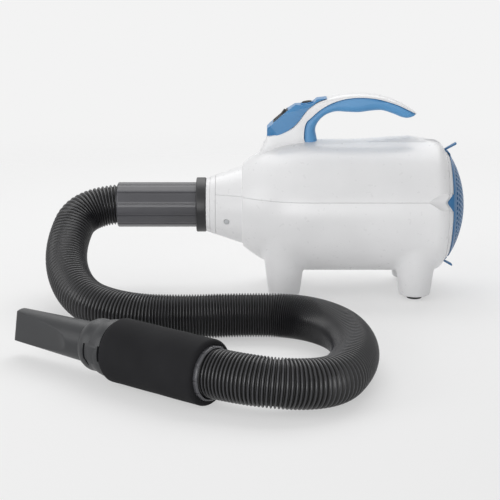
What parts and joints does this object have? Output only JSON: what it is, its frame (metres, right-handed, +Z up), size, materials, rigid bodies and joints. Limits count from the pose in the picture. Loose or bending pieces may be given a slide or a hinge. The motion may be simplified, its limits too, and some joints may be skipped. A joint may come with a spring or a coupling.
{
  "type": "pet dryer",
  "caption": "Barrel-shaped grooming blower on short legs with an open bow handle, a ribbed hose, a foam-sleeved handpiece and a flat nozzle.",
  "frame": {"origin": "on the table, under the middle of the box around the dryer and its handpiece", "axes": "+X along the barrel's axis from the hose outlet towards the intake cover, +Y from the handpiece towards the barrel, +Z up"},
  "size_m": [0.5417, 0.5737, 0.2583],
  "materials": {
    "white_shell": "moulded white ABS, glossy",
    "blue_housing": "moulded mid-blue ABS",
    "blue_grip": "blue overmoulded grip, satin",
    "blue_cover": "deep-blue moulded cover, perforated",
    "black_plastic": "moulded black plastic, satin",
    "black_rubber": "moulded rubber",
    "grey_cuff": "fluted grey plastic, satin",
    "hose": "black ribbed vinyl hose, glossy",
    "foam_sleeve": "closed-cell foam sleeve, charcoal",
    "nozzle_grey": "moulded dark-grey nylon, satin",
    "inner_plastic": "moulded black engineering plastic",
    "filter_foam": "open-cell foam",
    "steel": "zinc-plated steel",
    "core_steel": "stacked electrical steel",
    "sheet_steel": "pressed galvanised sheet",
    "alloy": "stamped aluminium",
    "copper": "enamelled copper wire",
    "carbon": "pressed carbon",
    "mica": "mica sheet",
    "heater_wire": "resistance wire",
    "board": "glass-fibre board"
  },
  "bodies": {
    "root": {"upper_shell": "white_shell", "lower_shell": "white_shell", "handle_frame": "white_shell", "outlet_ring": "white_shell", "switch_housing": "blue_housing", "handle_grip": "blue_grip", "power_switch": "black_plastic", "cord_gland": "black_plastic", "foot_pads": "black_rubber", "outlet_seal": "black_rubber", "rear_motor_mount": "black_rubber", "front_motor_mount": "black_rubber", "hose_cuff": "grey_cuff", "wand_cuff": "grey_cuff", "air_hose": "hose", "grip_sleeve": "foam_sleeve", "nozzle_coupling": "nozzle_grey", "wand_tube": "inner_plastic", "filter_grid": "inner_plastic", "air_guide": "inner_plastic", "brush_holders": "inner_plastic", "speed_pot": "inner_plastic", "intake_filter": "filter_foam", "sound_liner": "filter_foam", "foot_screws": "steel", "shell_screws": "steel", "nose_screws": "steel", "handle_screws": "steel", "shaft_bearings": "steel", "stator_core": "core_steel", "motor_frame": "sheet_steel", "fan_shroud": "sheet_steel", "motor_carrier": "sheet_steel", "heater_duct": "sheet_steel", "heat_sink": "alloy", "field_windings": "copper", "carbon_brushes": "carbon", "heater_cards": "mica", "thermal_cutout": "mica", "heater_coil": "heater_wire", "control_board": "board"},
    "rotor": {"motor_shaft": "steel", "armature": "core_steel", "armature_windings": "copper", "commutator": "copper", "impeller": "alloy"},
    "rocker": {"power_rocker": "black_plastic"},
    "dial": {"speed_dial": "black_plastic", "dial_shaft": "steel"},
    "cover": {"filter_cover": "blue_cover"},
    "collar": {"hose_collar": "black_plastic"},
    "nozzle": {"flat_nozzle": "nozzle_grey", "nozzle_seal": "black_rubber"}
  },
  "joints": [
    {"name": "rotor_spin", "type": "hinge", "parent": "root", "child": "rotor", "pos_m": [0.08, 0.19, 0.1125], "axis": [1, 0, 0], "continuous": true},
    {"name": "power_press", "type": "hinge", "parent": "root", "child": "rocker", "pos_m": [0.03536, 0.19, 0.22713], "axis": [0, 1, 0], "range_deg": [0, 16]},
    {"name": "speed_turn", "type": "hinge", "parent": "root", "child": "dial", "pos_m": [0.0671, 0.19, 0.245], "axis": [-0.153, 0, 0.9882], "range_deg": [0, 270]},
    {"name": "cover_pull", "type": "slide", "parent": "root", "child": "cover", "axis": [1, 0, 0], "range_m": [0, 0.06]},
    {"name": "collar_turn", "type": "hinge", "parent": "root", "child": "collar", "pos_m": [-0.0685, 0.19, 0.1125], "axis": [1, 0, 0], "range_deg": [0, 60]},
    {"name": "nozzle_turn", "type": "hinge", "parent": "root", "child": "nozzle", "pos_m": [-0.0468, -0.2484, 0.035], "axis": [-0.7965, 0.6046, 0], "range_deg": [0, 30]}
  ]
}
